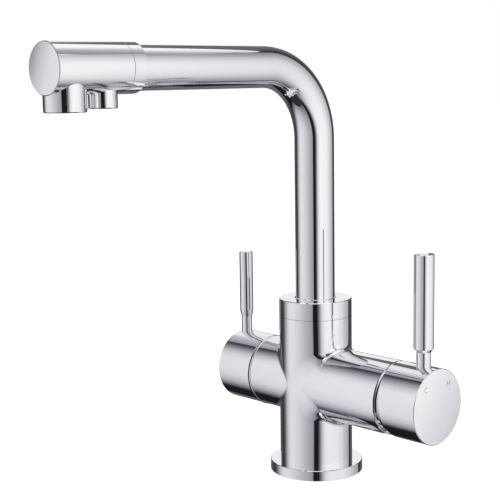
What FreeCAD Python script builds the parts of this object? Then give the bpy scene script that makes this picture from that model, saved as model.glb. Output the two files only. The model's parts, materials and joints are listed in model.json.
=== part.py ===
import FreeCAD, Part
import os
import re

import Sketcher

from FreeCAD import Placement, Rotation, Vector

# Three way filtered water tap. Millimetres. The origin is the middle of the foot on the
# worktop. +Z is up, the spout points to -Y, the mixer arm to +X, the filter arm to -X.

DOC = FreeCAD.newDocument("three_way_tap")

SIZES = [
    # foot
    ("flange_d", 60.6), ("flange_t", 6.7), ("edge", 0.3),
    ("foot_step", 4.0), ("foot_spigot_z", 0.0), ("foot_seal_inset", 2.5),
    ("foot_seal_w", 3.1), ("foot_seal_t", 2.0),
    # column
    ("column_d", 47.4), ("column_top", 103.1), ("ring_seam", 0.1), ("ring_t", 11.4),
    ("ring_wall", 3.7), ("ring_skirt", 6.3), ("skirt_wall", 3.3), ("slip_t", 0.8),
    ("slip_depth", 4.8), ("spout_bore_d", 24.2), ("spout_bore_depth", 18.0),
    ("nipple_d", 8.0), ("nipple_depth", 8.0), ("screw_drop", 3.1),
    # arms
    ("arm_z", 59.6), ("arm_d", 46.8), ("arm_right", 68.6), ("arm_left", 37.8), ("blend", 4.0),
    # mixer chamber
    ("chamber_d", 35.6), ("cartridge_len", 24.0), ("nut_wall", 2.75), ("nut_depth", 10.6),
    # filter valve chamber
    ("valve_d", 20.4), ("valve_len", 20.0), ("valve_rebate_d", 32.0), ("valve_rebate", 5.1),
    # underside ports and water ways
    ("port_d", 8.9), ("port_len", 12.0), ("duct_d", 5.2),
    ("supply_x", 9.3), ("supply_y", 7.6), ("supply_drop", 6.0),
    ("mixed_d", 6.4), ("mixed_x", 8.6), ("mixed_rise", 8.0),
    ("feed_port_x", 12.0), ("feed_inset", 3.5), ("feed_d", 4.4), ("feed_rise", 4.6),
    ("stud_d", 6.8), ("stud_len", 14.0),
    # mixer cartridge
    ("mix_seal_t", 1.2), ("mix_base_t", 4.8), ("disc_t", 3.0), ("disc_gap", 0.1),
    ("shell_wall", 1.4), ("disc_room", 2.8), ("disc_travel", 2.2), ("neck_d", 20.4),
    ("shell_neck_d", 26.0), ("play", 0.3), ("pivot_in", 2.0), ("pin_d", 3.0),
    ("stem_w", 7.0), ("stem_foot", 14.7),
    # mixer cap and lever
    ("lip_inset", 0.8), ("dome_r", 23.1), ("cap_wall", 1.95), ("cap_gap", 1.3),
    ("cap_tilt", 7.2), ("mixer_cap_len", 31.3), ("mixer_face_t", 19.9), ("mixer_lever_in", 11.0),
    ("stem_in", 8.9), ("mixer_grip_d", 12.4), ("mixer_neck_d", 9.1), ("mixer_grip_z", 34.3),
    ("mixer_lever_top", 92.0), ("spot_depth", 0.75),
    # filter cap and lever
    ("bead_d", 1.7), ("filter_gap", 2.2), ("filter_cap_len", 29.4), ("filter_face_t", 17.4),
    ("filter_lever_in", 4.4), ("spindle_in", 3.4), ("spindle_d", 10.0),
    ("filter_grip_d", 9.2), ("filter_neck_d", 7.3), ("filter_grip_z", 38.1), ("filter_taper", 4.5),
    ("filter_lever_top", 79.0),
    # spout
    ("tube_d", 25.5), ("tube_wall", 1.2), ("seat_flange_t", 3.0), ("spout_z", 263.2),
    ("bend", 45.6), ("inner_d", 6.0), ("inner_wall", 1.0), ("inner_seat", 2.3),
    ("inner_into_head", 5.0),
    ("head_reach", 145.8), ("head_ring_len", 9.3), ("head_gap", 0.1), ("head_len", 49.1),
    ("head_step", 1.55), ("head_socket", 3.0), ("over_duct", 7.2), ("over_duct_d", 7.2),
    ("main_inset", 12.5), ("main_d", 23.4), ("main_out", 9.0), ("main_lip_w", 2.0),
    ("outlet_pitch", 24.9), ("pure_d", 16.2), ("pure_out", 7.5), ("pure_lip_w", 2.3),
    ("pure_top", 5.0),
]

# Sizes that follow from the ones above.
FOLLOWS = {
    "foot_spigot_d": "column_d-2*foot_step",
    "foot_seal_out": "flange_d-2*foot_seal_inset",
    "foot_seal_in": "foot_seal_out-2*foot_seal_w",
    "ring_thread_d": "column_d-2*ring_wall",
    "ring_thread_z": "column_top-ring_skirt",
    "ring_top": "column_top+ring_seam+ring_t",
    "slip_d": "ring_thread_d-2*skirt_wall",
    "slip_z": "ring_thread_z-slip_depth",
    "spout_bore_z": "slip_z-spout_bore_depth",
    "nipple_bore_d": "nipple_d+2*play",
    "nipple_bore_z": "spout_bore_z-nipple_depth",
    "screw_z": "column_top-screw_drop",
    "nut_d": "arm_d-2*nut_wall",
    "nut_x": "arm_right-nut_depth",
    "chamber_x": "nut_x-cartridge_len",
    "supply_z": "arm_z-supply_drop",
    "mixed_z": "arm_z+mixed_rise",
    "valve_rebate_x": "arm_left-valve_rebate",
    "valve_x": "valve_rebate_x-valve_len",
    "feed_x": "valve_x-feed_inset",
    "shell_d": "chamber_d-0.8",
    "housing_in": "shell_d-2*shell_wall",
    "fixed_disc_d": "housing_in-2*disc_room",
    "moving_disc_d": "fixed_disc_d-2*disc_travel",
    "carrier_d": "housing_in-2*play",
    "pivot_x": "nut_x+pivot_in",
    "stem_tip_x": "pivot_x-stem_foot",
    "trim_bore_d": "shell_neck_d+1.6",
    "mixer_end": "arm_right+mixer_cap_len",
    "mixer_hollow": "mixer_end-mixer_face_t",
    "mixer_lever_x": "mixer_end-mixer_lever_in",
    "stem_end_x": "mixer_end-stem_in",
    "lever_seat": "arm_d/2-spot_depth",
    "filter_end": "arm_left+filter_gap+filter_cap_len",
    "filter_hollow": "filter_end-filter_face_t",
    "filter_lever_x": "filter_end-filter_lever_in",
    "spindle_end": "filter_end-spindle_in",
    "seat_flange_z": "slip_z+slip_t+0.1",
    "tube_z": "seat_flange_z+seat_flange_t",
    "inner_z": "tube_z+inner_seat",
    "head_d": "tube_d+2*head_step",
    "head_ring_end": "head_reach+head_ring_len",
    "head_start": "head_ring_end+head_gap",
    "head_end": "head_start+head_len",
    "inner_end": "head_start+inner_into_head",
    "main_y": "head_end-main_inset",
    "pure_y": "main_y-outlet_pitch",
    "main_drop": "head_d/2+main_out",
    "pure_drop": "head_d/2+pure_out",
    "main_lip": "main_d-2*main_lip_w",
    "pure_lip": "pure_d-2*pure_lip_w",
}


def make_sheet():
    sheet = DOC.addObject("Spreadsheet::Sheet", "dims")
    for row, (alias, value) in enumerate(SIZES, start=1):
        sheet.set("A%d" % row, alias)
        sheet.set("B%d" % row, str(value))
        sheet.setAlias("B%d" % row, alias)
    DOC.recompute()
    return sheet


SHEET = make_sheet()
WORD = re.compile(r"[a-z][a-z_]*")
ALIASES = {alias for alias, _ in SIZES}
PIECES = []

# Turn that brings the local Z axis to the named direction.
WAYS = {
    "Z": Rotation(0, 0, 0, 1),
    "-Z": Rotation(Vector(1, 0, 0), 180),
    "X": Rotation(Vector(0, 1, 0), 90),
    "-X": Rotation(Vector(0, 1, 0), -90),
    "-Y": Rotation(Vector(1, 0, 0), 90),
    "Y": Rotation(Vector(1, 0, 0), -90),
    "back": Rotation(Vector(0, 0, 1), 180),
}


def bound(text):
    """Turns named sizes in a formula into sheet cells, opening up those that follow."""
    def swap(found):
        word = found.group(0)
        if word in FOLLOWS:
            return "(" + bound(FOLLOWS[word]) + ")"
        return "dims." + word if word in ALIASES else word

    return WORD.sub(swap, text)


def number(text):
    return float(SHEET.evalExpression(bound(text)))


def place(thing, at, way="Z"):
    thing.Placement = Placement(Vector(*[number(t) for t in at]), WAYS[way])
    for axis, text in zip("xyz", at):
        thing.setExpression("Placement.Base." + axis, bound(text))


def keep(thing, name):
    thing.Label = name
    PIECES.append((name, thing))
    return thing


def plane(body, role):
    return [f for f in body.Origin.OriginFeatures if f.Role == role][0]


def new_body(name):
    body = DOC.addObject("PartDesign::Body", name + "_body")
    return body


def new_sketch(body, name, role):
    sketch = body.newObject("Sketcher::SketchObject", name)
    sketch.AttachmentSupport = [(plane(body, role), "")]
    sketch.MapMode = "FlatFace"
    return sketch


def pin_point(sketch, line, end, texts):
    for kind, axis, text in (("DistanceX", -2, texts[0]), ("DistanceY", -1, texts[1])):
        if text == "0":
            sketch.addConstraint(Sketcher.Constraint("PointOnObject", line, end, axis))
            continue
        made = sketch.addConstraint(
            Sketcher.Constraint(kind, -1, 1, line, end, number(text)))
        sketch.setExpression("Constraints[%d]" % made, bound(text))


def draw_outline(sketch, points):
    spots = [Vector(number(a), number(b), 0) for a, b in points]
    count = len(spots)
    for i in range(count):
        sketch.addGeometry(Part.LineSegment(spots[i], spots[(i + 1) % count]), False)
    for i in range(count):
        sketch.addConstraint(Sketcher.Constraint("Coincident", i, 2, (i + 1) % count, 1))
    for i in range(count):
        pin_point(sketch, i, 1, points[i])


def turned(name, points, at, way="Z"):
    """A turned piece: outline as (radius, height) pairs, spun round its own Z axis."""
    body = new_body(name)
    sketch = new_sketch(body, name + "_outline", "XZ_Plane")
    draw_outline(sketch, points)
    spin = body.newObject("PartDesign::Revolution", name + "_spin")
    spin.Profile = sketch
    spin.ReferenceAxis = (sketch, ["V_Axis"])
    spin.Angle = 360
    place(body, at, way)
    return body


def rod(name, diameter, length, at, way="Z"):
    piece = DOC.addObject("Part::Cylinder", name)
    piece.setExpression("Radius", bound("(%s)/2" % diameter))
    piece.setExpression("Height", bound(length))
    place(piece, at, way)
    return piece


def block(name, size, at):
    piece = DOC.addObject("Part::Box", name)
    for field, text in zip(("Length", "Width", "Height"), size):
        piece.setExpression(field, bound(text))
    place(piece, at)
    return piece


def joined(name, pieces):
    fuse = DOC.addObject("Part::MultiFuse", name)
    fuse.Shapes = pieces
    fuse.Refine = True
    return fuse


def less(name, solid, tools):
    cutter = tools[0] if len(tools) == 1 else joined(name + "_bores", tools)
    cut = DOC.addObject("Part::Cut", name + "_cut")
    cut.Base = solid
    cut.Tool = cutter
    cut.Refine = True
    return cut


def ring_outline(inner, outer, height):
    return [(inner, "0"), (outer, "0"), (outer, height), (inner, height)]


def o_ring(name, groove_d, cord, at):
    """A round rubber ring lying in a groove of the given floor diameter."""
    ring = DOC.addObject("Part::Torus", name + "_torus")
    ring.setExpression("Radius1", bound("(%s)/2+(%s)/2" % (groove_d, cord)))
    ring.setExpression("Radius2", bound("(%s)/2" % cord))
    place(ring, at[0], at[1])
    return keep(ring, name)


def casting_outside():
    column = rod("casting_column", "column_d", "column_top-flange_t", ("0", "0", "flange_t"))
    arms = rod("casting_arms", "arm_d", "arm_right+arm_left", ("-arm_left", "0", "arm_z"), "X")
    shell = joined("casting_shell", [column, arms])
    DOC.recompute()
    seams = []
    for index, line in enumerate(shell.Shape.Edges, start=1):
        box = line.BoundBox
        inside = max(-box.XMin, box.XMax) < number("column_d/2+blend")
        if inside and min(box.ZLength, box.YLength) > number("arm_d/10"):
            seams.append(index)
    soft = DOC.addObject("Part::Fillet", "casting_soft")
    soft.Base = shell
    width = number("blend")
    soft.Edges = [(index, width, width) for index in seams]
    DOC.recompute()
    if soft.Shape.isNull() or not soft.Shape.isValid():
        raise RuntimeError("the blend between column and arms failed")
    foot = rod("casting_foot", "foot_spigot_d", "flange_t-foot_spigot_z+edge",
               ("0", "0", "foot_spigot_z"))
    return joined("casting_solid", [soft, foot])


def casting_top_bores():
    return [
        rod("bore_ring", "ring_thread_d", "column_top-ring_thread_z+1", ("0", "0", "ring_thread_z")),
        rod("bore_slip", "slip_d", "column_top-slip_z", ("0", "0", "slip_z")),
        rod("bore_spout", "spout_bore_d", "column_top-spout_bore_z", ("0", "0", "spout_bore_z")),
        rod("bore_nipple", "nipple_bore_d", "spout_bore_z-nipple_bore_z+1",
            ("0", "0", "nipple_bore_z")),
        rod("bore_rise", "feed_d+0.6", "nipple_bore_z-arm_z-feed_rise+feed_d/2+1",
            ("0", "0", "arm_z+feed_rise-feed_d/2")),
        rod("bore_mixed_rise", "mixed_d-0.4", "spout_bore_z-mixed_z+1", ("mixed_x", "0", "mixed_z")),
        rod("bore_screw", "4", "ring_wall+2", ("0", "column_d/2+1", "screw_z"), "-Y"),
    ]


def casting_side_bores():
    return [
        rod("bore_chamber", "chamber_d", "arm_right-chamber_x+1", ("chamber_x", "0", "arm_z"), "X"),
        rod("bore_nut", "nut_d", "arm_right-nut_x+1", ("nut_x", "0", "arm_z"), "X"),
        rod("bore_valve", "valve_d", "arm_left-valve_x+1", ("-valve_x", "0", "arm_z"), "-X"),
        rod("bore_rebate", "valve_rebate_d", "arm_left-valve_rebate_x+1",
            ("-valve_rebate_x", "0", "arm_z"), "-X"),
        rod("bore_mixed", "mixed_d", "chamber_x-mixed_x+1", ("mixed_x", "0", "mixed_z"), "X"),
        rod("bore_feed_in", "feed_d", "valve_x-feed_x+1", ("-feed_x", "0", "arm_z-feed_rise"), "-X"),
        rod("bore_feed_out", "feed_d", "valve_x+1", ("0", "0", "arm_z+feed_rise"), "-X"),
    ]


def casting_foot_bores():
    bores = [
        rod("port_feed", "port_d", "port_len+1", ("-feed_port_x", "0", "foot_spigot_z-1")),
        rod("duct_feed", "duct_d", "arm_z-feed_rise+feed_d/2-foot_spigot_z",
            ("-feed_x", "0", "foot_spigot_z")),
        rod("port_stud", "stud_d", "stud_len+1", ("0", "0", "foot_spigot_z-1")),
    ]
    for name, side in (("hot", "supply_y"), ("cold", "-supply_y")):
        bores += [
            rod("port_" + name, "port_d", "port_len+1", ("supply_x", side, "foot_spigot_z-1")),
            rod("duct_" + name, "duct_d", "supply_z+duct_d/2-foot_spigot_z",
                ("supply_x", side, "foot_spigot_z")),
            rod("cross_" + name, "duct_d", "chamber_x-supply_x+1", ("supply_x", side, "supply_z"),
                "X"),
        ]
    return bores


def make_casting():
    bores = casting_top_bores() + casting_side_bores() + casting_foot_bores()
    keep(less("body_casting", casting_outside(), bores), "body_casting")


def make_foot():
    outer = "flange_d/2"
    inner = "foot_spigot_d/2+0.15"
    groove_in = "foot_seal_in/2-0.2"
    groove_out = "foot_seal_out/2+0.2"
    keep(turned("base_flange", [
        (inner, "0"), (groove_in, "0"), (groove_in, "foot_seal_t"), (groove_out, "foot_seal_t"),
        (groove_out, "0"), (outer, "0"), (outer, "flange_t-edge"),
        (outer + "-edge", "flange_t"), (inner, "flange_t"),
    ], ("0", "0", "0")), "base_flange")
    keep(turned("base_seal", ring_outline("foot_seal_in/2", "foot_seal_out/2", "foot_seal_t"),
                ("0", "0", "0")), "base_seal")


def make_column_top():
    skirt = "ring_thread_d/2-0.05"
    up = "ring_top-ring_thread_z"
    seam = "column_top+ring_seam-ring_thread_z"
    ring = turned("spout_ring", [
        ("slip_d/2", "0"), (skirt, "0"), (skirt, seam), ("column_d/2-edge/3", seam),
        ("column_d/2", seam + "+edge/3"), ("column_d/2", up + "-0.4"), ("column_d/2-0.4", up),
        ("tube_d/2+0.8", up), ("tube_d/2+0.4", up + "-0.4"), ("tube_d/2+0.4", seam + "+0.5"),
        ("slip_d/2", seam + "+0.5"),
    ], ("0", "0", "ring_thread_z"))
    hole = rod("ring_screw_hole", "4", "ring_wall+skirt_wall+1", ("0", "column_d/2", "screw_z"), "-Y")
    keep(less("spout_ring", ring, [hole]), "spout_ring")
    screw = turned("ring_set_screw", [
        ("0", "0"), ("1.95-0.3", "0"), ("1.95", "0.3"), ("1.95", "4.5"), ("1.65", "4.8"),
        ("1.1", "4.8"), ("1.1", "2.8"), ("0", "2.4"),
    ], ("0", "slip_d/2+1.6", "screw_z"), "Y")
    keep(screw, "ring_set_screw")
    inner = "tube_d/2+0.35"
    outer = "slip_d/2-0.2"
    keep(turned("slip_ring_lower", ring_outline(inner, outer, "slip_t"), ("0", "0", "slip_z")),
         "slip_ring_lower")
    keep(turned("slip_ring_upper", ring_outline(inner, outer, "slip_t"),
                ("0", "0", "ring_thread_z-slip_t")), "slip_ring_upper")


def cartridge_ports(name, length, start, larger="0"):
    """Cutters for the hot, cold and mixed water holes through the cartridge's foot."""
    return [
        rod(name + "_hot", "duct_d+" + larger, length, (start, "supply_y", "supply_z"), "X"),
        rod(name + "_cold", "duct_d+" + larger, length, (start, "-supply_y", "supply_z"), "X"),
        rod(name + "_mixed", "mixed_d+" + larger, length, (start, "0", "mixed_z"), "X"),
    ]


def make_cartridge():
    seal = rod("mix_seal_blank", "chamber_d-1.4", "mix_seal_t", ("chamber_x", "0", "arm_z"), "X")
    keep(less("mixer_seat_seal", seal, cartridge_ports("ms", "mix_seal_t+2", "chamber_x-1")),
         "mixer_seat_seal")
    base_x = "chamber_x+mix_seal_t"
    base = rod("mix_base_blank", "shell_d", "mix_base_t", (base_x, "0", "arm_z"), "X")
    keep(less("mixer_cartridge_base", base, cartridge_ports("mb", "mix_base_t+2", base_x + "-1")),
         "mixer_cartridge_base")
    disc_x = "chamber_x+mix_seal_t+mix_base_t"
    disc = rod("mix_disc_blank", "fixed_disc_d", "disc_t", (disc_x, "0", "arm_z"), "X")
    keep(less("mixer_fixed_disc", disc, cartridge_ports("md", "disc_t+2", disc_x + "-1")),
         "mixer_fixed_disc")
    moving_x = disc_x + "+disc_t+disc_gap"
    moving = rod("mix_moving_blank", "moving_disc_d", "disc_t", (moving_x, "0", "arm_z"), "X")
    well = rod("mix_moving_well", "12", "1.3", (moving_x + "-0.1", "0", "arm_z+1"), "X")
    drive = block("mix_moving_drive", ("2", "7", "8"),
                  (moving_x + "+disc_t-1.5", "-3.5", "arm_z-4"))
    keep(less("mixer_moving_disc", moving, [well, drive]), "mixer_moving_disc")
    shoulder = "nut_x-chamber_x-mix_seal_t-mix_base_t"
    keep(turned("mixer_cartridge_housing", [
        ("housing_in/2", "0"), ("shell_d/2", "0"), ("shell_d/2", shoulder),
        ("shell_neck_d/2", shoulder), ("shell_neck_d/2", shoulder + "+4"),
        ("neck_d/2+play", shoulder + "+4"), ("neck_d/2+play", shoulder + "-2"),
        ("housing_in/2", shoulder + "-2"),
    ], (disc_x, "0", "arm_z"), "X"), "mixer_cartridge_housing")


def make_carrier():
    start = "chamber_x+mix_seal_t+mix_base_t+2*disc_t+disc_gap+0.2"
    wide = "nut_x-2-play-(%s)" % start
    turned_blank = turned("carrier", [
        ("0", "0"), ("carrier_d/2", "0"), ("carrier_d/2", wide), ("neck_d/2", wide),
        ("neck_d/2", "nut_x+6-(%s)" % start), ("0", "nut_x+6-(%s)" % start),
    ], (start, "0", "arm_z"), "X")
    slot = block("carrier_slot", ("cartridge_len+6", "stem_w+0.4", "2*stem_w+2"),
                 ("chamber_x+8", "-stem_w/2-0.2", "arm_z-stem_w-1"))
    hole = rod("carrier_pin_hole", "pin_d", "neck_d+4",
               ("pivot_x", "-neck_d/2-2", "arm_z"), "Y")
    keep(less("mixer_carrier", turned_blank, [slot, hole]), "mixer_carrier")
    keep(rod("mixer_pivot_pin", "pin_d", "neck_d-1.6",
             ("pivot_x", "-neck_d/2+0.8", "arm_z"), "Y"), "mixer_pivot_pin")


def make_mixer_trim():
    keep(turned("mixer_lock_nut", [
        ("shell_neck_d/2+play", "0"), ("nut_d/2-0.2", "0"), ("nut_d/2-0.2", "9"),
        ("shell_neck_d/2+play", "9"),
    ], ("nut_x", "0", "arm_z"), "X"), "mixer_lock_nut")
    face = "nut_depth-9+0.05"
    lip = "arm_d/2-lip_inset"
    outline = [("trim_bore_d/2", "0"), ("nut_d/2-0.2", "0"), ("nut_d/2-0.2", face), (lip, face),
               (lip, face + "+0.35"), (lip + "-0.35", face + "+0.7")]
    for out in (9.5, 10.8, 12.0, 13.2, 14.2, 15.2):
        outline.append(("sqrt(dome_r*dome_r-%s*%s)" % (out, out), "pivot_x+%s-nut_x-9" % out))
    outline.append(("trim_bore_d/2", "pivot_x+15.8-nut_x-9"))
    keep(turned("mixer_trim_ring", outline, ("nut_x+9", "0", "arm_z"), "X"), "mixer_trim_ring")


def make_mixer_handle():
    bar = block("stem_bar", ("stem_end_x-pivot_x+8", "stem_w", "stem_w"),
                ("pivot_x-8", "-stem_w/2", "arm_z-stem_w/2"))
    tip = rod("stem_tip", "stem_w-2.2", "stem_foot-6", ("stem_tip_x", "0", "arm_z"), "X")
    hole = rod("stem_pin_hole", "pin_d+0.16", "2*stem_w", ("pivot_x", "-stem_w", "arm_z"), "Y")
    keep(less("mixer_stem", joined("stem_solid", [bar, tip]), [hole]), "mixer_stem")

    start = "arm_right+cap_gap-1"
    full = "mixer_end-(%s)" % start
    deep = "mixer_hollow-(%s)" % start
    blank = turned("mixer_cap", [
        ("0", deep), ("arm_d/2-cap_wall", deep), ("arm_d/2-cap_wall", "0"), ("arm_d/2", "0"),
        ("arm_d/2", full + "-0.4"), ("arm_d/2-0.4", full), ("0", full),
    ], (start, "0", "arm_z"), "X")
    socket = block("cap_socket", ("stem_end_x-mixer_hollow+1.5", "stem_w+0.1", "stem_w+0.1"),
                   ("mixer_hollow-1", "-stem_w/2-0.05", "arm_z-stem_w/2-0.05"))
    hole = rod("cap_lever_hole", "6.1", "arm_d/2", ("mixer_lever_x", "0", "arm_z"))
    spot = rod("cap_lever_spot", "mixer_neck_d+0.1", "6", ("mixer_lever_x", "0", "arm_z+lever_seat"))
    slice_x = "arm_right+cap_gap+arm_d/2*tan(cap_tilt)-30*(cos(cap_tilt)-sin(cap_tilt))"
    wedge = block("cap_slice", ("30", "60", "60"),
                  (slice_x, "-30", "arm_z-30*(cos(cap_tilt)+sin(cap_tilt))"))
    wedge.Placement = Placement(wedge.Placement.Base, Rotation(Vector(0, -1, 0), number("cap_tilt")))
    wedge.setExpression("Placement.Rotation.Angle", bound("cap_tilt"))
    keep(less("mixer_cap", blank, [socket, hole, spot, wedge]), "mixer_cap")
    keep(turned("mixer_lever", [
        ("0", "0"), ("3", "0"), ("3", "lever_seat-stem_w/2-0.05"),
        ("mixer_neck_d/2", "lever_seat-stem_w/2-0.05"),
        ("mixer_neck_d/2", "mixer_grip_z-2-stem_w/2"), ("mixer_grip_d/2", "mixer_grip_z-stem_w/2"),
        ("mixer_grip_d/2", "mixer_lever_top-stem_w/2-1"),
        ("mixer_grip_d/2-0.13", "mixer_lever_top-stem_w/2-0.5"),
        ("mixer_grip_d/2-0.5", "mixer_lever_top-stem_w/2-0.13"),
        ("mixer_grip_d/2-1", "mixer_lever_top-stem_w/2"), ("0", "mixer_lever_top-stem_w/2"),
    ], ("mixer_lever_x", "0", "arm_z+stem_w/2+0.05")), "mixer_lever")


def make_filter_valve():
    def ports(name, length, start, size):
        return [
            rod(name + "_in", size, length, (start, "0", "arm_z-feed_rise"), "-X"),
            rod(name + "_out", size, length, (start, "0", "arm_z+feed_rise"), "-X"),
        ]

    seal = rod("filter_seal_blank", "valve_d-0.8", "1.5", ("-valve_x", "0", "arm_z"), "-X")
    keep(less("filter_seat_seal", seal, ports("fs", "3.5", "-valve_x+1", "feed_d")),
         "filter_seat_seal")
    disc = rod("filter_disc_blank", "valve_d-2.8", "2.5", ("-valve_x-1.5", "0", "arm_z"), "-X")
    keep(less("filter_fixed_disc", disc, ports("fd", "4.5", "-valve_x-0.5", "feed_d")),
         "filter_fixed_disc")
    shoulder = "valve_rebate_x-valve_x-1.5"
    face = "arm_left-valve_x-1.5-0.2"
    keep(turned("filter_valve_body", [
        ("valve_d/2-1.2", "0"), ("valve_d/2-0.2", "0"), ("valve_d/2-0.2", shoulder),
        ("valve_rebate_d/2-0.3", shoulder), ("valve_rebate_d/2-0.3", face), ("8", face),
        ("8", face + "+5"), ("spindle_d/2+play", face + "+5"), ("spindle_d/2+play", "8.3"),
        ("valve_d/2-1.2", "8.3"),
    ], ("-valve_x-1.5", "0", "arm_z"), "-X"), "filter_valve_body")
    washer = turned("filter_trim_washer", ring_outline("8.4", "arm_d/2-bead_d/2", "bead_d-0.6"),
                    ("-arm_left-0.35", "0", "arm_z"), "-X")
    bead = DOC.addObject("Part::Torus", "filter_trim_bead")
    bead.setExpression("Radius1", bound("arm_d/2-bead_d/2+edge"))
    bead.setExpression("Radius2", bound("bead_d/2"))
    place(bead, ("-arm_left-bead_d/2-0.05", "0", "arm_z"), "-X")
    keep(joined("filter_trim_solid", [washer, bead]), "filter_trim_ring")


def make_filter_handle():
    disc_x = "-valve_x-1.5-2.5-disc_gap"
    disc = rod("filter_moving_blank", "valve_d-3.2", "2.5", (disc_x, "0", "arm_z"), "-X")
    well = block("filter_moving_well", ("1.3", "12", "4.6"), (disc_x + "-1.2", "-6", "arm_z-2.3"))
    keep(less("filter_moving_disc", disc, [well]), "filter_moving_disc")
    shaft = turned("spindle", [
        ("0", "0"), ("valve_d/2-1.6", "0"), ("valve_d/2-1.6", "2.6"), ("spindle_d/2", "2.6"),
        ("spindle_d/2", "9"), ("spindle_d/2-1", "9"), ("spindle_d/2-1", "10.5"),
        ("spindle_d/2", "10.5"), ("spindle_d/2", "valve_len+4"), ("0", "valve_len+4"),
    ], (disc_x + "-2.5", "0", "arm_z"), "-X")
    square = block("spindle_square", ("spindle_end-valve_x-valve_len-8", "stem_w", "stem_w"),
                   ("-spindle_end", "-stem_w/2", "arm_z-stem_w/2"))
    keep(joined("spindle_solid", [shaft, square]), "filter_spindle")
    o_ring("filter_spindle_seal", "spindle_d-2", "1.2", ((disc_x + "-2.5-9.75", "0", "arm_z"), "-X"))

    start = "arm_left+filter_gap"
    full = "filter_end-(%s)" % start
    deep = "filter_hollow-(%s)" % start
    blank = turned("filter_cap", [
        ("0", deep), ("arm_d/2-cap_wall", deep), ("arm_d/2-cap_wall", "0"),
        ("arm_d/2-edge", "0"), ("arm_d/2", "edge"),
        ("arm_d/2", full + "-0.4"), ("arm_d/2-0.4", full), ("0", full),
    ], ("-(%s)" % start, "0", "arm_z"), "-X")
    socket = block("filter_socket", ("spindle_end-filter_hollow+1.5", "stem_w+0.1", "stem_w+0.1"),
                   ("-spindle_end-0.5", "-stem_w/2-0.05", "arm_z-stem_w/2-0.05"))
    hole = rod("filter_lever_hole", "5.1", "arm_d/2", ("-filter_lever_x", "0", "arm_z"))
    spot = rod("filter_lever_spot", "filter_neck_d+0.1", "6",
               ("-filter_lever_x", "0", "arm_z+lever_seat"))
    keep(less("filter_cap", blank, [socket, hole, spot]), "filter_cap")
    neck_top = "filter_grip_z-filter_taper-stem_w/2"
    top = "filter_lever_top-stem_w/2"
    keep(turned("filter_lever", [
        ("0", "0"), ("2.5", "0"), ("2.5", "lever_seat-stem_w/2-0.05"),
        ("filter_neck_d/2", "lever_seat-stem_w/2-0.05"), ("filter_neck_d/2", neck_top),
        ("filter_grip_d/2", "filter_grip_z-stem_w/2"), ("filter_grip_d/2", top + "-0.6"),
        ("filter_grip_d/2-0.2", top + "-0.2"), ("filter_grip_d/2-0.6", top), ("0", top),
    ], ("-filter_lever_x", "0", "arm_z+stem_w/2+0.05")), "filter_lever")


def make_spout_foot():
    """The turned insert that the spout stands on, with a stepped foot for its seals."""
    low = "spout_bore_z-nipple_depth+1"
    foot = "nipple_depth+3"
    flange = "seat_flange_z-(%s)" % low
    top = "tube_z+11-(%s)" % low
    spigot = "spout_bore_d/2-play"
    neck = "tube_d/2-tube_wall-0.05"
    bore = "inner_d/2+0.05"
    tip = "nipple_d/2"
    points = [
        ("feed_d/2", "0"), (tip, "0"), (tip, "2"), (tip + "-0.8", "2"), (tip + "-0.8", "3.2"),
        (tip, "3.2"), (tip, foot), (spigot, foot),
    ]
    for start in ("14", "20"):
        points += [(spigot, start), (spigot + "-1.6", start), (spigot + "-1.6", start + "+2"),
                   (spigot, start + "+2")]
    points += [
        (spigot, flange), ("slip_d/2-0.5", flange), ("slip_d/2-0.5", flange + "+seat_flange_t"),
        (neck, flange + "+seat_flange_t"), (neck, top), (bore, top),
        (bore, "inner_z-(%s)" % low), ("feed_d/2", "inner_z-(%s)" % low),
    ]
    blank = turned("spout_insert", points, ("0", "0", low))
    spots = (("7", "0"), ("0", "7"), ("-7", "0"), ("0", "-7"))
    ways = [
        rod("insert_way_%d" % i, "feed_d", "tube_z", (x, y, low + "+5"))
        for i, (x, y) in enumerate(spots)
    ]
    keep(less("spout_insert", blank, ways), "spout_insert")
    groove = "spout_bore_d-2*play-3.2"
    o_ring("spout_seal_lower", groove, "1.8", (("0", "0", low + "+15"), "Z"))
    o_ring("spout_seal_upper", groove, "1.8", (("0", "0", low + "+21"), "Z"))
    o_ring("filter_feed_seal", "nipple_d-1.6", "1", (("0", "0", low + "+2.6"), "Z"))


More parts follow.
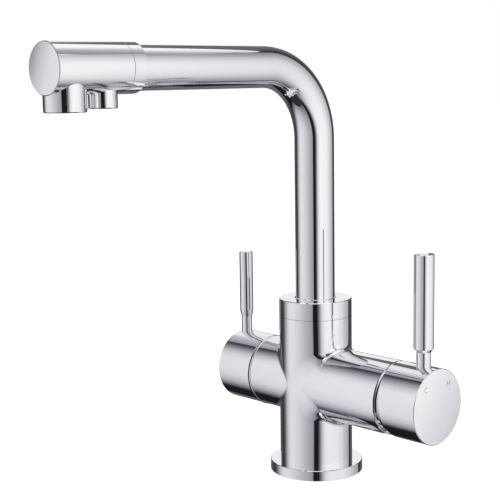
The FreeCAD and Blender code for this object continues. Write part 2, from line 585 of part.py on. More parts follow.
def bent_pipe(name, outer, inner, start, reach):
    """A pipe that rises, turns through the spout's bend and runs level to the head."""
    body = new_body(name)
    rise = number("spout_z-bend-(%s)" % start)
    bend = number("bend")
    run = number(reach)
    path = new_sketch(body, name + "_path", "YZ_Plane")
    path.addGeometry(Part.LineSegment(Vector(0, 0, 0), Vector(0, rise, 0)), False)
    circle = Part.Circle(Vector(bend, rise, 0), Vector(0, 0, 1), bend)
    path.addGeometry(Part.ArcOfCircle(circle, 1.5707963, 3.1415927), False)
    path.addGeometry(Part.LineSegment(Vector(bend, rise + bend, 0), Vector(run, rise + bend, 0)),
                     False)
    path.addConstraint(Sketcher.Constraint("Coincident", 0, 1, -1, 1))
    path.addConstraint(Sketcher.Constraint("PointOnObject", 0, 2, -2))
    path.addConstraint(Sketcher.Constraint("Tangent", 0, 2, 1, 2))
    path.addConstraint(Sketcher.Constraint("Tangent", 1, 1, 2, 1))
    path.addConstraint(Sketcher.Constraint("Horizontal", 2))
    made = path.addConstraint(Sketcher.Constraint("Radius", 1, bend))
    path.setExpression("Constraints[%d]" % made, "dims.bend")
    made = path.addConstraint(Sketcher.Constraint("DistanceY", -1, 1, 2, 2, rise + bend))
    path.setExpression("Constraints[%d]" % made, bound("spout_z-(%s)" % start))
    made = path.addConstraint(Sketcher.Constraint("DistanceX", -1, 1, 2, 2, run))
    path.setExpression("Constraints[%d]" % made, bound(reach))
    rings = new_sketch(body, name + "_rings", "XY_Plane")
    for index, size in enumerate((outer, inner)):
        radius = number("(%s)/2" % size)
        rings.addGeometry(Part.Circle(Vector(0, 0, 0), Vector(0, 0, 1), radius), False)
        rings.addConstraint(Sketcher.Constraint("Coincident", index, 3, -1, 1))
        made = rings.addConstraint(Sketcher.Constraint("Radius", index, radius))
        rings.setExpression("Constraints[%d]" % made, bound("(%s)/2" % size))
    DOC.recompute()
    pipe = body.newObject("PartDesign::AdditivePipe", name + "_pipe")
    pipe.Profile = rings
    pipe.Spine = path
    place(body, ("0", "0", start), "back")
    keep(body, name)


def make_spout_tubes():
    bent_pipe("spout_tube", "tube_d", "tube_d-2*tube_wall", "tube_z", "head_start+head_socket-0.1")
    bent_pipe("filtered_water_tube", "inner_d", "inner_d-2*inner_wall", "inner_z", "inner_end")


def make_head():
    length = "head_end-head_start"
    blank = turned("head", [
        ("0", "0"), ("head_d/2-edge/3", "0"), ("head_d/2", "edge/3"), ("head_d/2", length + "-0.4"),
        ("head_d/2-0.4", length), ("0", length),
    ], ("0", "-head_start", "spout_z"), "-Y")
    tools = [
        rod("head_socket_bore", "tube_d+0.2", "head_socket+1", ("0", "-head_start+1", "spout_z"),
            "-Y"),
        rod("head_over_duct", "over_duct_d", "main_y-head_start",
            ("0", "-head_start", "spout_z+over_duct"), "-Y"),
        rod("head_feed_bore", "inner_d+0.1", "pure_y-head_start", ("0", "-head_start", "spout_z"),
            "-Y"),
        rod("head_main_bore", "main_d+0.2", "head_d/2+3", ("0", "-main_y", "spout_z+1.5"), "-Z"),
        rod("head_main_dome", "main_d-6.4", "10", ("0", "-main_y", "spout_z-0.5")),
        rod("head_pure_bore", "pure_d+0.2", "head_d/2", ("0", "-pure_y", "spout_z-pure_top+1.6"),
            "-Z"),
        rod("head_pure_link", "8", "pure_top", ("0", "-pure_y", "spout_z-pure_top+1")),
    ]
    keep(less("spout_head", blank, tools), "spout_head")
    keep(turned("head_ring", [
        ("tube_d/2+0.05", "0"), ("head_d/2-head_step/2", "0"), ("head_d/2", "head_step/2"),
        ("head_d/2", "head_ring_len-edge/3"),
        ("head_d/2-edge/3", "head_ring_len"),
        ("tube_d/2+0.05", "head_ring_len"),
    ], ("0", "-head_reach", "spout_z"), "-Y"), "head_ring")


def make_outlet(name, y, size, drop, lip, top, wall, insert_top):
    """A plain cup that screws up into the head, its flow insert and its washer."""
    rise = "%s-%s" % (drop, top)
    low = ("0", "-" + y, "spout_z-" + drop)
    hollow = "%s/2-%s" % (size, wall)
    keep(turned(name + "_housing", [
        (lip + "/2", "0"), (size + "/2-0.5", "0"), (size + "/2", "0.5"), (size + "/2", rise),
        (hollow, rise), (hollow, "1.4"), (lip + "/2", "1.4"),
    ], low), name + "_housing")
    keep(turned(name + "_insert", [
        ("0", "2.2"), (lip + "/2-0.6", "2.2"), (lip + "/2-0.6", "1.4"), (hollow + "-0.05", "1.4"),
        (hollow + "-0.05", insert_top), (hollow + "-1.6", insert_top),
        (hollow + "-1.6", "6"), ("0", "6"),
    ], low), name + "_insert")


def make_outlets():
    make_outlet("main_outlet", "main_y", "main_d", "main_drop", "main_lip", "0.6", "1.3", "18")
    make_outlet("pure_outlet", "pure_y", "pure_d", "pure_drop", "pure_lip", "pure_top", "1.5", "13")
    keep(turned("main_outlet_seal", ring_outline("main_d/2-3.5", "main_d/2-0.2", "2.1"),
                ("0", "-main_y", "spout_z-0.6")), "main_outlet_seal")
    keep(turned("pure_outlet_seal", ring_outline("pure_d/2-3.1", "pure_d/2-0.2", "1.6"),
                ("0", "-pure_y", "spout_z-pure_top")), "pure_outlet_seal")


def check_and_write():
    DOC.recompute()
    failed = [o.Name for o in DOC.Objects if {"Invalid", "Error"} & set(o.State)]
    if failed:
        raise RuntimeError("failed objects: " + ", ".join(failed))
    os.makedirs("parts", exist_ok=True)
    for name, thing in PIECES:
        shape = thing.Shape
        if shape.isNull() or not shape.isValid():
            raise RuntimeError("bad shape: " + name)
        if len(shape.Solids) != 1:
            raise RuntimeError("not one solid: " + name)
    for name, thing in PIECES:
        thing.Shape.exportStep("parts/" + name + ".step")
        print("%-26s %9.1f mm3" % (name, thing.Shape.Volume))




make_foot()
make_casting()
make_column_top()
make_cartridge()
make_carrier()
make_mixer_trim()
make_mixer_handle()
make_filter_valve()
make_filter_handle()
make_spout_foot()
make_spout_tubes()
make_head()
make_outlets()
check_and_write()
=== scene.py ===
import json
import math

import bmesh
import bpy
from mathutils import Matrix, Vector


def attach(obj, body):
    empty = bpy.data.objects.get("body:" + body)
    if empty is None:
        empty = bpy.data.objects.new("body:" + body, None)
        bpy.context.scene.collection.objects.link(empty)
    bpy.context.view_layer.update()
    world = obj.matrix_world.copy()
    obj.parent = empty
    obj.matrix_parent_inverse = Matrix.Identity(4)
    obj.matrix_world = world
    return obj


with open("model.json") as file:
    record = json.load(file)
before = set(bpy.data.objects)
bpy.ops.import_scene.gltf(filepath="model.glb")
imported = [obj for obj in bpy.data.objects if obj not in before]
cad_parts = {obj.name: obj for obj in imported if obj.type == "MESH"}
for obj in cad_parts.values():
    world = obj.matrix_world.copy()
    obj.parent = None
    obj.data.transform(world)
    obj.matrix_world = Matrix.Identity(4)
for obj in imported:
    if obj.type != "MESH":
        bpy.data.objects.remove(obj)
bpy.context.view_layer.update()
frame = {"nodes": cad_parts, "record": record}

SCENE = bpy.context.scene
NODES = frame["nodes"]

# Camera, fitted to the photograph's outlines. Angles are in degrees, lengths in metres.
VIEW_AZIMUTH = 46.25
VIEW_ELEVATION = 8.2
VIEW_ROLL = -0.85
VIEW_DISTANCE = 0.7795
VIEW_LENS = 86.54
AIM_RIGHT = -0.04214
AIM_UP = 0.14611

# The studio that the plating mirrors is a ring of big cards. Angles are in degrees: "around"
# goes round the object from the photographer's side, "upright" goes up from the level of its
# middle. Each card has (angle, brightness) stops across it, and others up it that multiply.
# The dimmer a stop, the bluer it is, by a share of COOL at most. CARD_MESH is the spacing of
# the cards' meshes.
MIDDLE = (0.0, 0.0, 0.14)
COOL = 0.15
CARD_MESH = 4
EVEN = [(-90, 1.0), (90, 1.0)]
FADING = [
    (-72, 0.10), (-60, 0.36), (-52, 0.58), (-42, 0.74), (-30, 0.88), (-12, 0.96), (2, 0.97),
    (14, 1.0), (26, 0.98), (36, 0.80), (44, 0.62), (62, 0.42),
]
NEAR_FADING = [
    (-72, 0.10), (-60, 0.34), (-50, 0.55), (-40, 0.74), (-30, 0.86), (-14, 0.95), (-2, 0.97),
    (10, 1.0), (24, 0.99), (31, 0.95), (38, 0.88), (45, 0.79), (52, 0.67), (60, 0.56),
]
CARDS = {
    "left_softbox": {
        "around": (-128, -11), "upright": (-72, 62), "away": 2.8, "up": FADING,
        "across": [
            (-128, 0.05), (-121, 0.12), (-114, 0.30), (-105, 0.58), (-95, 0.78), (-86, 0.83),
            (-74, 0.79), (-60, 0.71), (-47, 0.61), (-38, 0.53), (-29, 0.46), (-20, 0.40),
            (-14, 0.34), (-11, 0.20),
        ],
    },
    "right_softbox": {
        "around": (3, 122), "upright": (-72, 60), "away": 0.62, "up": NEAR_FADING,
        "across": [
            (3, 0.06), (7, 0.18), (11, 0.40), (17, 0.74), (24, 0.92), (33, 1.0), (45, 0.98),
            (58, 0.97), (67, 0.96), (72, 0.91), (78, 0.86), (84, 0.82), (92, 0.73),
            (101, 0.60), (110, 0.52), (122, 0.46),
        ],
    },
    "photographer": {
        "around": (-13, 16), "upright": (-72, 60), "away": 3.0, "up": EVEN,
        "across": [(-13, 0.012), (16, 0.012)],
    },
    "rear_screen": {
        "around": (94, 234), "upright": (-42, 48.3), "away": 3.0, "up": EVEN,
        "across": [
            (94, 0.24), (112, 0.20), (119, 0.11), (128, 0.04), (138, 0.055), (150, 0.11),
            (164, 0.15), (196, 0.13), (210, 0.09), (224, 0.035), (234, 0.06),
        ],
    },
    "backdrop": {
        "around": (170, 198), "upright": (0, 25), "away": 2.9, "up": EVEN,
        "across": [(170, 0.90), (190, 0.88), (198, 0.80)],
    },
    "ceiling_card": {
        "around": (184, 250), "upright": (24, 62), "away": 2.9, "up": EVEN,
        "across": [
            (184, 0.80), (196, 0.88), (208, 0.55), (220, 0.42), (234, 0.26), (246, 0.14),
            (250, 0.16),
        ],
    },
    "ceiling_strip": {
        "around": (94, 172), "upright": (48.3, 62), "away": 2.9, "up": EVEN,
        "across": [
            (94, 0.30), (104, 0.36), (110, 0.39), (117, 0.47), (123, 0.55), (130, 0.68),
            (137, 0.84), (144, 0.96), (150, 1.0), (172, 1.0),
        ],
    },
    "table": {
        "around": (116, 236), "upright": (-90, -40), "away": 2.7, "up": EVEN,
        "across": [(116, 0.012), (236, 0.012)],
    },
    "table_front": {
        "around": (-124, 116), "upright": (-90, -64), "away": 2.7, "up": EVEN,
        "across": [(-124, 0.03), (116, 0.03)],
    },
}

# The world's strength where it only lights things, the lamps' size, and the floor: its radius
# and sides, how far it lies under the tap, its tone, and the glow that the camera adds to it.
WORLD_SOFT = 0.6
LAMP_SIZE = (1.4, 1.4)
FLOOR_R = 12.0
FLOOR_SIDES = 96
FLOOR_DROP = 0.0002
FLOOR_TONE = 0.8
FLOOR_GLOW = 0.62

# The looks' noise, in ripples per metre, and the depth of their relief, in metres.
PLATE_TONE = 30.0
PLATE_HAZE = 140.0
PLATE_WAVE = 55.0
PLATE_DEPTH = 0.000008
TOOL_GRAIN = 900.0
TOOL_DEPTH = 0.00002
MOULD_TONE = 60.0
MOULD_GRAIN = 1500.0
MARK_GRAIN = 2500.0
MARK_DEPTH = 0.000004

# A surface counts as an end face when the cosine between its direction and the face's is over
# this.
FACE_ALIGNED = 0.999

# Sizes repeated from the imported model, in metres.
COLUMN_R = 0.0237
ARM_R = 0.0234
ARM_Z = 0.0596
HEAD_R = 0.0143
HEAD_Z = 0.2632

# The cast corner's hollow curve: its radii at the tight and the wide places, the least that is
# added everywhere, and how squarely the surface faces front (0 to 1) where it begins to widen
# and where it is widest.
SWEEP_TIGHT = 0.002
SWEEP_WIDE = 0.018
SWEEP_LEAST = 0.0004
SWEEP_FROM = 0.15
SWEEP_FULL = 0.85

# The skin over that corner lies on the mixer's side. Its grid reaches SWEEP_REACH that way, up
# and down, and SWEEP_LEFT past the middle. The surface is sought between two depths by halving,
# and spots nearer than SWEEP_NEAREST are left out. The slope is measured over SWEEP_NUDGE. The
# skin lies SWEEP_LIFT over the surface, and ends where it stands less than SWEEP_FLUSH proud.
SWEEP_REACH = 0.034
SWEEP_LEFT = 0.003
SWEEP_STEP = 0.0005
SWEEP_DEPTHS = (0.002, 0.034)
SWEEP_HALVINGS = 40
SWEEP_NEAREST = 0.004
SWEEP_NUDGE = 0.00001
SWEEP_LIFT = 0.00001
SWEEP_FLUSH = 0.0000015

# The C and H on the mixer cap's end face: (y, z) of their middles, their height, width and
# stroke, half the C's gap in degrees, the steps in its arc, and the levels in x between which
# they lie.
COLD_SPOT = (-0.01125, 0.07205)
HOT_SPOT = (0.01015, 0.07254)
MARK_SIZE = 0.0034
MARK_WIDTH = 0.0029
MARK_STROKE = 0.00036
MARK_GAP = 48
MARK_ARC = 24
MARK_LEVELS = (0.09985, 0.099905)

# The screen and the flow former that show from under the two outlets.
MAIN_Y = -0.1918
GAUZE_R = 0.0089
GAUZE_PITCH = 0.0009
GAUZE_WIRE = 0.00011
GAUZE_SIDES = 6
GAUZE_WAVE = 0.00013
GAUZE_Z = 0.24180
PURE_Y = -0.1669
STAR_RIBS = 8
STAR_R = 0.0051
STAR_HUB = 0.0016
STAR_NARROW = 0.20
STAR_LEVELS = (0.24290, 0.24355)


def node(tree, kind, **values):
    """One new node of a kind, with its properties set."""
    made = tree.nodes.new(kind)
    for name, value in values.items():
        setattr(made, name, value)
    return made


def maths(tree, operation, *terms):
    """One Math node; each term is a number or an output socket."""
    made = node(tree, "ShaderNodeMath", operation=operation)
    for socket, term in zip(made.inputs, terms):
        if isinstance(term, (int, float)):
            socket.default_value = term
        else:
            tree.links.new(term, socket)
    return made.outputs[0]


def ramp(tree, source, stops):
    """Brightness that runs through (angle, level) stops, the dimmer the bluer."""
    low, high = stops[0][0], stops[-1][0]
    scaled = node(tree, "ShaderNodeMapRange")
    scaled.inputs["From Min"].default_value = low
    scaled.inputs["From Max"].default_value = high
    tree.links.new(source, scaled.inputs["Value"])
    made = node(tree, "ShaderNodeValToRGB")
    elements = made.color_ramp.elements
    elements.remove(elements[1])
    for index, (angle, level) in enumerate(stops):
        place = (angle - low) / (high - low)
        stop = elements[0] if index == 0 else elements.new(place)
        stop.position = place
        stop.color = (level, level, level * (1.0 + COOL * (1.0 - level)), 1.0)
    tree.links.new(scaled.outputs["Result"], made.inputs["Fac"])
    return made.outputs["Color"]


def make_camera():
    """The camera that took the photograph, as fitted."""
    azimuth, elevation, roll = (math.radians(angle) for angle in
                                (VIEW_AZIMUTH, VIEW_ELEVATION, VIEW_ROLL))
    back = Vector((math.sin(azimuth) * math.cos(elevation),
                   -math.cos(azimuth) * math.cos(elevation), math.sin(elevation)))
    right = Vector((math.cos(azimuth), math.sin(azimuth), 0.0))
    up = back.cross(right)
    side = right * math.cos(roll) + up * math.sin(roll)
    top = up * math.cos(roll) - right * math.sin(roll)
    spot = right * AIM_RIGHT + Vector((0.0, 0.0, AIM_UP)) + back * VIEW_DISTANCE
    data = bpy.data.cameras.new("photo_camera")
    data.sensor_width = 36.0
    data.lens = VIEW_LENS
    data.clip_start = 0.01
    data.clip_end = 100.0
    camera = bpy.data.objects.new("photo_camera", data)
    turn = Matrix((side, top, back)).transposed().to_4x4()
    camera.matrix_world = Matrix.Translation(spot) @ turn
    SCENE.collection.objects.link(camera)
    SCENE.camera = camera


def make_world():
    """White where the camera, the plating and clear parts see it, softer as a light."""
    world = bpy.data.worlds.new("studio")
    SCENE.world = world
    world.use_nodes = True
    tree = world.node_tree
    tree.nodes.clear()
    seen = node(tree, "ShaderNodeBackground")
    seen.inputs["Color"].default_value = (1.0, 1.0, 1.0, 1.0)
    soft = node(tree, "ShaderNodeBackground")
    soft.inputs["Color"].default_value = (1.0, 1.0, 1.0, 1.0)
    soft.inputs["Strength"].default_value = WORLD_SOFT
    path = node(tree, "ShaderNodeLightPath")
    straight = maths(tree, "MAXIMUM", path.outputs["Is Camera Ray"],
                     path.outputs["Is Glossy Ray"])
    clear = maths(tree, "MAXIMUM", straight, path.outputs["Is Transmission Ray"])
    mixed = node(tree, "ShaderNodeMixShader")
    tree.links.new(clear, mixed.inputs["Fac"])
    tree.links.new(soft.outputs[0], mixed.inputs[1])
    tree.links.new(seen.outputs[0], mixed.inputs[2])
    out = node(tree, "ShaderNodeOutputWorld")
    tree.links.new(mixed.outputs[0], out.inputs["Surface"])


def make_floor():
    """A matt floor that the camera sees as white, with the object's shadow on it."""
    mesh = bpy.data.meshes.new("floor")
    form = bmesh.new()
    bmesh.ops.create_circle(form, cap_ends=True, segments=FLOOR_SIDES, radius=FLOOR_R)
    form.to_mesh(mesh)
    form.free()
    floor = bpy.data.objects.new("floor", mesh)
    floor.location.z = -FLOOR_DROP
    floor.visible_glossy = False
    SCENE.collection.objects.link(floor)
    material = bpy.data.materials.new("pale_floor")
    material.use_nodes = True
    tree = material.node_tree
    tree.nodes.clear()
    matt = node(tree, "ShaderNodeBsdfDiffuse")
    matt.inputs["Color"].default_value = (FLOOR_TONE, FLOOR_TONE, FLOOR_TONE, 1.0)
    lift = node(tree, "ShaderNodeEmission")
    lift.inputs["Color"].default_value = (1.0, 1.0, 1.0, 1.0)
    lift.inputs["Strength"].default_value = FLOOR_GLOW
    both = node(tree, "ShaderNodeAddShader")
    tree.links.new(matt.outputs[0], both.inputs[0])
    tree.links.new(lift.outputs[0], both.inputs[1])
    path = node(tree, "ShaderNodeLightPath")
    seen = node(tree, "ShaderNodeMixShader")
    tree.links.new(path.outputs["Is Camera Ray"], seen.inputs["Fac"])
    tree.links.new(matt.outputs[0], seen.inputs[1])
    tree.links.new(both.outputs[0], seen.inputs[2])
    out = node(tree, "ShaderNodeOutputMaterial")
    tree.links.new(seen.outputs[0], out.inputs["Surface"])
    mesh.materials.append(material)


def card_glow(name, middle, across, up):
    """Glowing cloth whose brightness follows the angle across and up the card."""
    material = bpy.data.materials.new(name)
    material.use_nodes = True
    tree = material.node_tree
    tree.nodes.clear()
    where = node(tree, "ShaderNodeTexCoord")
    aim = node(tree, "ShaderNodeVectorMath", operation="NORMALIZE")
    tree.links.new(where.outputs["Object"], aim.inputs[0])
    split = node(tree, "ShaderNodeSeparateXYZ")
    tree.links.new(aim.outputs[0], split.inputs[0])
    x, y, z = split.outputs
    turn = maths(tree, "DEGREES", maths(tree, "ARCTAN2", x, maths(tree, "MULTIPLY", y, -1.0)))
    rise = maths(tree, "DEGREES", maths(tree, "ARCSINE", z))
    shade = node(tree, "ShaderNodeMix", data_type="RGBA", blend_type="MULTIPLY")
    shade.inputs["Factor"].default_value = 1.0
    own = [(angle - middle, level) for angle, level in across]
    tree.links.new(ramp(tree, turn, own), shade.inputs[6])
    tree.links.new(ramp(tree, rise, up), shade.inputs[7])
    glow = node(tree, "ShaderNodeEmission")
    tree.links.new(shade.outputs[2], glow.inputs["Color"])
    out = node(tree, "ShaderNodeOutputMaterial")
    tree.links.new(glow.outputs[0], out.inputs["Surface"])
    return material


def make_card(name, around, upright, away, across, up):
    """A curved card, a patch of a big ball about the object, that only mirrors see."""
    middle = (around[0] + around[1]) / 2
    half = (around[1] - around[0]) / 2
    columns = max(2, round(2 * half / CARD_MESH))
    rows = max(2, round((upright[1] - upright[0]) / CARD_MESH))
    form = bmesh.new()
    grid = []
    for row in range(rows + 1):
        rise = math.radians(upright[0] + (upright[1] - upright[0]) * row / rows)
        line = []
        for column in range(columns + 1):
            turn = math.radians(-half + 2 * half * column / columns)
            line.append(form.verts.new((away * math.cos(rise) * math.sin(turn),
                                        -away * math.cos(rise) * math.cos(turn),
                                        away * math.sin(rise))))
        grid.append(line)
    for lower, upper in zip(grid, grid[1:]):
        for column in range(columns):
            form.faces.new((lower[column], lower[column + 1], upper[column + 1],
                            upper[column]))
    mesh = bpy.data.meshes.new(name)
    form.to_mesh(mesh)
    form.free()
    mesh.materials.append(card_glow(name, middle, across, up))
    card = bpy.data.objects.new(name, mesh)
    card.location = MIDDLE
    card.rotation_euler.z = math.radians(VIEW_AZIMUTH + middle)
    card.visible_camera = False
    card.visible_diffuse = False
    card.visible_transmission = False
    card.visible_shadow = False
    SCENE.collection.objects.link(card)


def make_lamp(name, spot, power):
    """A soft lamp aimed at the middle. The plating doesn't mirror it."""
    data = bpy.data.lights.new(name, "AREA")
    data.shape = "RECTANGLE"
    data.size, data.size_y = LAMP_SIZE
    data.energy = power
    lamp = bpy.data.objects.new(name, data)
    lamp.location = spot
    aim = Vector(MIDDLE) - lamp.location
    lamp.rotation_mode = "QUATERNION"
    lamp.rotation_quaternion = aim.to_track_quat("-Z", "Y")
    lamp.visible_glossy = False
    SCENE.collection.objects.link(lamp)


def new_material(name, metallic, colour, rough):
    """A material, with its node tree and its shader."""
    material = bpy.data.materials.new(name)
    material.use_nodes = True
    tree = material.node_tree
    shader = tree.nodes["Principled BSDF"]
    shader.inputs["Metallic"].default_value = metallic
    shader.inputs["Base Color"].default_value = (*colour, 1.0)
    shader.inputs["Roughness"].default_value = rough
    return material, tree, shader


def noise(tree, scale, detail, stretch=(1.0, 1.0, 1.0)):
    """Noise that is fixed to the piece."""
    where = node(tree, "ShaderNodeTexCoord")
    scaled = node(tree, "ShaderNodeMapping")
    scaled.inputs["Scale"].default_value = stretch
    tree.links.new(where.outputs["Object"], scaled.inputs["Vector"])
    made = node(tree, "ShaderNodeTexNoise")
    made.inputs["Scale"].default_value = scale
    made.inputs["Detail"].default_value = detail
    tree.links.new(scaled.outputs["Vector"], made.inputs["Vector"])
    return made.outputs["Fac"]


def spread(tree, source, low, high):
    """A source between 0 and 1, taken to another range."""
    made = node(tree, "ShaderNodeMapRange")
    made.inputs["To Min"].default_value = low
    made.inputs["To Max"].default_value = high
    tree.links.new(source, made.inputs["Value"])
    return made.outputs["Result"]


def bump(tree, shader, source, distance, under=None):
    """Fine relief on the shader, on top of an earlier one if "under" is given."""
    made = node(tree, "ShaderNodeBump")
    made.inputs["Distance"].default_value = distance
    tree.links.new(source, made.inputs["Height"])
    if under:
        tree.links.new(under, made.inputs["Normal"])
    tree.links.new(made.outputs["Normal"], shader.inputs["Normal"])
    return made.outputs["Normal"]


def crown(tree, shader, across, facing, height, radius, lean, dome, twist):
    """The slight crown of a polished end face, in the surface direction alone. "across" is the
    face's level axis and "facing" its outward one, with its sign; lean, dome and twist are the
    slopes in degrees at the middle, at the rim, and from top to bottom."""
    where = node(tree, "ShaderNodeTexCoord")
    spot = node(tree, "ShaderNodeSeparateXYZ")
    tree.links.new(where.outputs["Object"], spot.inputs[0])
    out = node(tree, "ShaderNodeSeparateXYZ")
    tree.links.new(where.outputs["Normal"], out.inputs[0])
    level = spot.outputs[across]
    rise = maths(tree, "SUBTRACT", spot.outputs["Z"], height)
    lean, dome, twist = (math.tan(math.radians(slope)) for slope in (lean, dome, twist))
    square = maths(tree, "ADD", maths(tree, "MULTIPLY", level, level),
                   maths(tree, "MULTIPLY", rise, rise))
    rounded = maths(tree, "MULTIPLY", square, -dome / (2 * radius))
    turned = maths(tree, "MULTIPLY", maths(tree, "MULTIPLY", level, rise), twist / radius)
    form = maths(tree, "ADD", maths(tree, "ADD", rounded, turned),
                 maths(tree, "MULTIPLY", level, lean))
    axis, sign = facing
    flat = maths(tree, "GREATER_THAN", maths(tree, "MULTIPLY", out.outputs[axis], sign),
                 FACE_ALIGNED)
    return bump(tree, shader, maths(tree, "MULTIPLY", form, flat), 1.0)


def two_tone(tree, shader, source, dark, light):
    """A base colour that wanders between two tones."""
    mix = node(tree, "ShaderNodeMix", data_type="RGBA")
    mix.inputs[6].default_value = (*dark, 1.0)
    mix.inputs[7].default_value = (*light, 1.0)
    tree.links.new(source, mix.inputs["Factor"])
    tree.links.new(mix.outputs[2], shader.inputs["Base Color"])


def chrome(name, end_face=None):
    """Bright plating: a hint of haze and of waviness, faintly blue."""
    material, tree, shader = new_material(name, 1.0, (0.925, 0.925, 0.935), 0.03)
    two_tone(tree, shader, noise(tree, PLATE_TONE, 2.0), (0.918, 0.918, 0.926),
             (0.94, 0.94, 0.947))
    tree.links.new(spread(tree, noise(tree, PLATE_HAZE, 4.0), 0.012, 0.045),
                   shader.inputs["Roughness"])
    under = crown(tree, shader, **end_face) if end_face else None
    bump(tree, shader, noise(tree, PLATE_WAVE, 2.0), PLATE_DEPTH, under)
    return material


def metal(name, dark, light, low, high, stretch=(1.0, 1.0, 1.0)):
    """Machined metal with fine tool marks."""
    material, tree, shader = new_material(name, 1.0, light, low)
    grain = noise(tree, TOOL_GRAIN, 2.0, stretch)
    two_tone(tree, shader, grain, dark, light)
    tree.links.new(spread(tree, grain, low, high), shader.inputs["Roughness"])
    bump(tree, shader, grain, TOOL_DEPTH)
    return material


def moulded(name, dark, light, low, high, depth):
    """Moulded rubber, plastic or fired ceramic with a fine grain."""
    material, tree, shader = new_material(name, 0.0, light, low)
    grain = noise(tree, MOULD_GRAIN, 3.0)
    two_tone(tree, shader, noise(tree, MOULD_TONE, 2.0), dark, light)
    tree.links.new(spread(tree, grain, low, high), shader.inputs["Roughness"])
    bump(tree, shader, grain, depth)
    return material


def dress_nodes(looks, faces):
    """Each node gets its slot's finish, and the two nodes with a big end face their own."""
    wanted = {entry["node"]: entry["material_slot"] for entry in frame["record"]["subparts"]}
    for name, thing in NODES.items():
        for slot in thing.material_slots:
            slot.material = faces.get(name, looks[wanted[name]])


def sweep_field(x, y, z):
    """Below zero inside the casting. The corner between column and arms is a hollow curve
    that is tight above and below the arms and opens into a wide sweep at front and back."""
    ring = math.hypot(x, y)
    pipe = math.hypot(y, z)
    facing = y * y / (ring * pipe)
    ease = min(1.0, max(0.0, (facing - SWEEP_FROM) / (SWEEP_FULL - SWEEP_FROM)))
    ease *= ease * (3.0 - 2.0 * ease)
    round_off = (SWEEP_TIGHT + (SWEEP_WIDE - SWEEP_TIGHT) * ease) * (1.0 - facing)
    round_off += SWEEP_LEAST
    column = ring - COLUMN_R
    arm = pipe - ARM_R
    across = math.hypot(max(round_off - column, 0.0), max(round_off - arm, 0.0))
    return max(round_off, min(column, arm)) - across


def sweep_spot(x, z):
    """How far out the casting's surface lies over one spot of its front, or None."""
    low, high = SWEEP_DEPTHS
    if sweep_field(x, low, z) > 0.0:
        return None
    for _ in range(SWEEP_HALVINGS):
        middle = (low + high) / 2
        if sweep_field(x, middle, z) > 0.0:
            high = middle
        else:
            low = middle
    return low


def sweep_slope(x, y, z):
    """The outward direction of the casting's surface."""
    d = SWEEP_NUDGE
    return Vector((
        sweep_field(x + d, y, z) - sweep_field(x - d, y, z),
        sweep_field(x, y + d, z) - sweep_field(x, y - d, z),
        sweep_field(x, y, z + d) - sweep_field(x, y, z - d))).normalized()


def place_piece(mesh, name, body, material):
    """An object for a finished mesh, with its material and the body it rides."""
    mesh.materials.append(material)
    piece = bpy.data.objects.new(name, mesh)
    SCENE.collection.objects.link(piece)
    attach(piece, body)


def finish_piece(form, name, body, material):
    """A closed form made into a piece, with its faces turned outward."""
    bmesh.ops.recalc_face_normals(form, faces=form.faces)
    mesh = bpy.data.meshes.new(name)
    form.to_mesh(mesh)
    form.free()
    place_piece(mesh, name, body, material)


def make_sweep(name, side, material):
    """The cast corner at the front (side -1) or the back (1), a skin that runs out flush on to
    the column and the mixer's arm."""
    form = bmesh.new()
    columns = round((SWEEP_REACH + SWEEP_LEFT) / SWEEP_STEP)
    rows = 2 * round(SWEEP_REACH / SWEEP_STEP)
    grid = {}
    slopes = {}
    for column in range(columns + 1):
        for row in range(rows + 1):
            x = column * SWEEP_STEP - SWEEP_LEFT
            z = -SWEEP_REACH + row * SWEEP_STEP
            y = sweep_spot(x, z)
            if y is None or y < SWEEP_NEAREST:
                continue
            slope = sweep_slope(x, y, z)
            proud = min(math.hypot(x, y) - COLUMN_R, math.hypot(y, z) - ARM_R)
            spot = Vector((x, y, z)) + slope * SWEEP_LIFT
            vertex = form.verts.new((spot.x, side * spot.y, spot.z + ARM_Z))
            grid[column, row] = (vertex, proud)
            slopes[vertex] = Vector((slope.x, side * slope.y, slope.z))
    for column in range(columns):
        for row in range(rows):
            corners = [grid.get(key) for key in ((column, row), (column + 1, row),
                                                 (column + 1, row + 1), (column, row + 1))]
            if None in corners or max(proud for _, proud in corners) < SWEEP_FLUSH:
                continue
            loop = [vertex for vertex, _ in corners]
            form.faces.new(loop if side < 0 else loop[::-1]).smooth = True
    loose = [vertex for vertex in form.verts if not vertex.link_faces]
    bmesh.ops.delete(form, geom=loose, context="VERTS")
    form.verts.index_update()
    normals = [slopes[vertex] for vertex in form.verts]
    mesh = bpy.data.meshes.new(name)
    form.to_mesh(mesh)
    form.free()
    mesh.normals_split_custom_set_from_vertices(normals)
    place_piece(mesh, name, "tap_body", material)


def slab(form, rim, place):
    """A closed plate between two levels: place(u, v, 0 or 1) is the point at each."""
    rings = [[form.verts.new(place(u, v, end)) for u, v in rim] for end in (0, 1)]
    for ring in rings:
        form.faces.new(ring)
    for index in range(len(rim)):
        after = (index + 1) % len(rim)
        form.faces.new((rings[0][index], rings[0][after], rings[1][after], rings[1][index]))


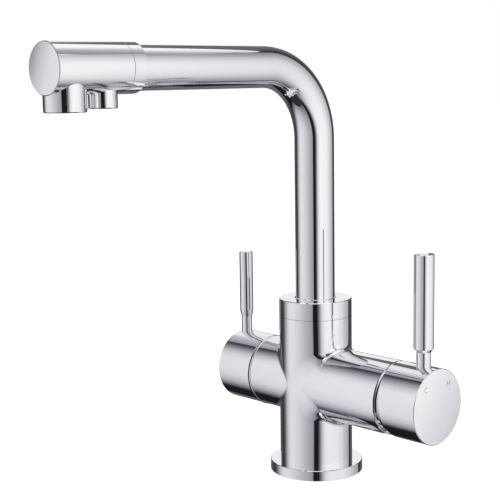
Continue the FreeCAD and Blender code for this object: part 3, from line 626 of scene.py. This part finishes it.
def make_marks():
    """The small C and H on the mixer cap's end face. They look etched but stand 0.005 mm
    proud of it."""
    half, stroke = MARK_SIZE / 2, MARK_STROKE
    arc = [math.radians(MARK_GAP + (360 - 2 * MARK_GAP) * step / MARK_ARC)
           for step in range(MARK_ARC + 1)]
    cold = [(half * math.cos(a), half * math.sin(a)) for a in arc]
    inner = half - stroke
    cold += [(inner * math.cos(a), inner * math.sin(a)) for a in reversed(arc)]
    edge, bar = MARK_WIDTH / 2, stroke / 2
    leg = edge - stroke
    corner = [(-edge, -half), (-leg, -half), (-leg, -bar), (leg, -bar), (leg, -half),
              (edge, -half)]
    hot = corner + [(-u, -v) for u, v in corner]
    material, tree, shader = new_material("etched_mark", 1.0, (0.30, 0.30, 0.32), 0.5)
    grain = noise(tree, MARK_GRAIN, 2.0)
    two_tone(tree, shader, grain, (0.24, 0.24, 0.26), (0.38, 0.38, 0.40))
    tree.links.new(spread(tree, grain, 0.42, 0.6), shader.inputs["Roughness"])
    bump(tree, shader, grain, MARK_DEPTH)
    for name, rim, (y, z) in (("cold_mark", cold, COLD_SPOT), ("hot_mark", hot, HOT_SPOT)):
        form = bmesh.new()
        slab(form, rim, lambda u, v, end: (MARK_LEVELS[end], y + u, z + v))
        finish_piece(form, name, "mixer_handle", material)


def wire(form, spots, radius, sides):
    """A round wire along spots that all lie in one upright plane."""
    run = (spots[-1] - spots[0]).normalized()
    over = Vector((-run.y, run.x, 0.0))
    rings = []
    for spot in spots:
        rings.append([form.verts.new(spot + radius * (
            over * math.cos(math.tau * side / sides)
            + Vector((0.0, 0.0, math.sin(math.tau * side / sides))))) for side in range(sides)])
    for first, second in zip(rings, rings[1:]):
        for side in range(sides):
            after = (side + 1) % sides
            form.faces.new((first[side], first[after], second[after], second[side]))
    form.faces.new(rings[0])
    form.faces.new(rings[-1])


def make_gauze(material):
    """The woven screen over the main outlet's flow insert."""
    form = bmesh.new()
    count = int(GAUZE_R / GAUZE_PITCH)
    for way in (0, 1):
        for line in range(-count, count + 1):
            aside = line * GAUZE_PITCH
            reach = math.sqrt(GAUZE_R ** 2 - aside ** 2)
            knots = max(2, round(4 * reach / GAUZE_PITCH))
            spots = []
            for knot in range(knots + 1):
                along = -reach + 2 * reach * knot / knots
                weave = math.cos(math.pi * (along / GAUZE_PITCH + line + way))
                flat = (along, aside) if way else (aside, along)
                spots.append(Vector((flat[0], MAIN_Y + flat[1],
                                     GAUZE_Z + weave * GAUZE_WAVE)))
            wire(form, spots, GAUZE_WIRE, GAUZE_SIDES)
    finish_piece(form, "outlet_gauze", "spout", material)


def make_flow_star(material):
    """The ribbed flow former in the filtered water outlet."""
    form = bmesh.new()
    ribs = []
    for rib in range(STAR_RIBS):
        turn = math.tau * rib / STAR_RIBS
        for radius, swing in ((STAR_HUB, -math.pi / STAR_RIBS), (STAR_HUB, -STAR_NARROW),
                              (STAR_R, -STAR_NARROW / 3), (STAR_R, STAR_NARROW / 3),
                              (STAR_HUB, STAR_NARROW)):
            ribs.append((radius * math.cos(turn + swing), radius * math.sin(turn + swing)))
    slab(form, ribs, lambda u, v, end: (u, PURE_Y + v, STAR_LEVELS[end]))
    finish_piece(form, "outlet_flow_star", "spout", material)


make_camera()
make_world()
make_floor()
for card_name, card in CARDS.items():
    make_card(card_name, **card)
make_lamp("key_lamp", (1.2, -0.9, 1.9), 14.0)
make_lamp("fill_lamp", (-1.4, -1.2, 1.5), 8.0)

LOOKS = {
    "chrome_body": chrome("polished_body"),
    "chrome_spout": chrome("polished_spout"),
    "chrome_handles": chrome("polished_handles"),
    "brass": metal("machined_brass", (0.70, 0.50, 0.23), (0.86, 0.68, 0.38), 0.22, 0.40,
                   (0.15, 1.0, 1.0)),
    "steel": metal("machined_steel", (0.50, 0.50, 0.51), (0.68, 0.68, 0.69), 0.22, 0.42),
    "rubber": moulded("black_rubber", (0.020, 0.020, 0.022), (0.035, 0.035, 0.038), 0.5, 0.7,
                      0.00002),
    "white_plastic": moulded("white_plastic", (0.78, 0.78, 0.75), (0.85, 0.85, 0.83), 0.3,
                             0.45, 0.00001),
    "grey_plastic": moulded("grey_plastic", (0.28, 0.29, 0.31), (0.34, 0.35, 0.37), 0.3, 0.45,
                            0.00001),
    "ceramic": moulded("fired_ceramic", (0.88, 0.87, 0.84), (0.94, 0.93, 0.90), 0.12, 0.2,
                       0.000004),
}
dress_nodes(LOOKS, {
    "spout_head": chrome("polished_head", {
        "across": "X", "facing": ("Y", -1.0), "height": HEAD_Z, "radius": HEAD_R,
        "lean": 0.3, "dome": 6.5, "twist": 3.0}),
    "mixer_cap": chrome("polished_cap", {
        "across": "Y", "facing": ("X", 1.0), "height": ARM_Z, "radius": ARM_R,
        "lean": 7.0, "dome": 6.0, "twist": 3.0}),
})
make_sweep("cast_corner_front", -1, LOOKS["chrome_body"])
make_sweep("cast_corner_back", 1, LOOKS["chrome_body"])
make_marks()
make_gauze(LOOKS["steel"])
make_flow_star(LOOKS["white_plastic"])

SCENE.view_settings.view_transform = "Standard"
